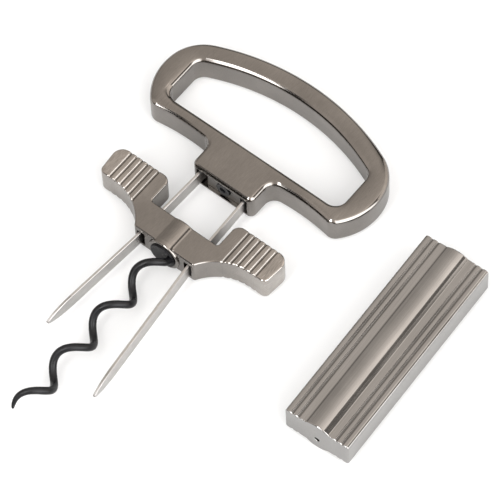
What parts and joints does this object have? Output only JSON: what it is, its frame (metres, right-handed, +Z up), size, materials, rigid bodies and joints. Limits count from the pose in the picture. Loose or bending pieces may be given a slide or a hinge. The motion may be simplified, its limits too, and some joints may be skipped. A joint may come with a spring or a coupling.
{
  "type": "two-prong cork puller",
  "caption": "Two-prong cork puller with a ring handle and a sliding winged carriage that carries an open worm, beside its fluted sheath.",
  "frame": {"origin": "centre of the flat underside of the boss, on the puller's mirror plane", "axes": "+Z up, out of the face the puller lies on; +Y along the puller from the tips to the handle; +X to the side of the long prong"},
  "size_m": [0.149, 0.1632, 0.015],
  "materials": {
    "casting": "satin gunmetal plating",
    "blade_steel": "satin",
    "clamp_steel": "satin gunmetal",
    "screw_black": "black",
    "hub_black": "black semi-gloss",
    "worm_black": "black low-friction coating",
    "sheath_plated": "satin gunmetal plating, lighter"
  },
  "bodies": {
    "puller": {"handle": "casting", "clamp_plate": "clamp_steel", "clamp_screw": "screw_black", "prong_short": "blade_steel", "prong_long": "blade_steel", "sheath": "sheath_plated"},
    "slider": {"carriage": "casting", "worm_hub": "hub_black", "worm": "worm_black"}
  },
  "joints": [
    {"name": "carriage_slide", "type": "slide", "parent": "puller", "child": "slider", "axis": [0, 1, 0], "range_m": [-0.0065, 0.0198]}
  ]
}
